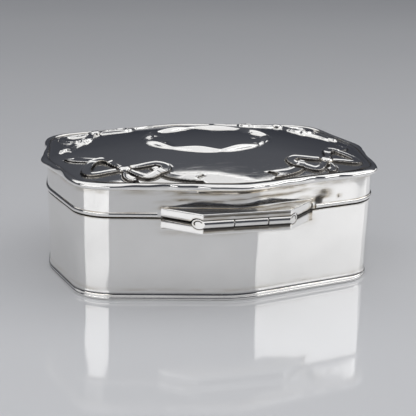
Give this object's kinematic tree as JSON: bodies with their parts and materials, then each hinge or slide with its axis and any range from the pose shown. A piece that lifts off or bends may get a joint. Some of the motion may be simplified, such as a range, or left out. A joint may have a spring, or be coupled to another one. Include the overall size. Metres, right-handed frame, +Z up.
{
  "type": "trinket box",
  "caption": "Eight-sided polished silver trinket box with bowed sides, a hinged domed lid embossed with ribbon bows and a cartouche, and a wavy rim.",
  "frame": {"origin": "middle of the base plate's underside, which rests on the table", "axes": "+Z up out of the box, +X along the hinge pin, +Y towards the hinge, so the opening side faces -Y"},
  "size_m": [0.1052, 0.0874, 0.041],
  "materials": {
    "silver": "polished sterling silver with fine wear",
    "gilt": "gold wash on polished silver"
  },
  "bodies": {
    "case": {"base_plate": "silver", "body_wall": "silver", "foot_moulding": "silver", "body_bezel": "gilt", "hinge_leaf_body": "silver", "hinge_knuckle_body_left": "silver", "hinge_knuckle_body_right": "silver", "hinge_pin": "silver"},
    "lid": {"lid_wall": "silver", "lid_edge_wire": "silver", "lid_top": "silver", "lid_rim": "silver", "hinge_leaf_lid": "silver", "hinge_knuckle_lid": "silver"}
  },
  "joints": [
    {"name": "lid_hinge", "type": "hinge", "parent": "case", "child": "lid", "pos_m": [0, 0.04366, 0.02535], "axis": [-1, 0, 0], "range_deg": [0, 100]}
  ]
}
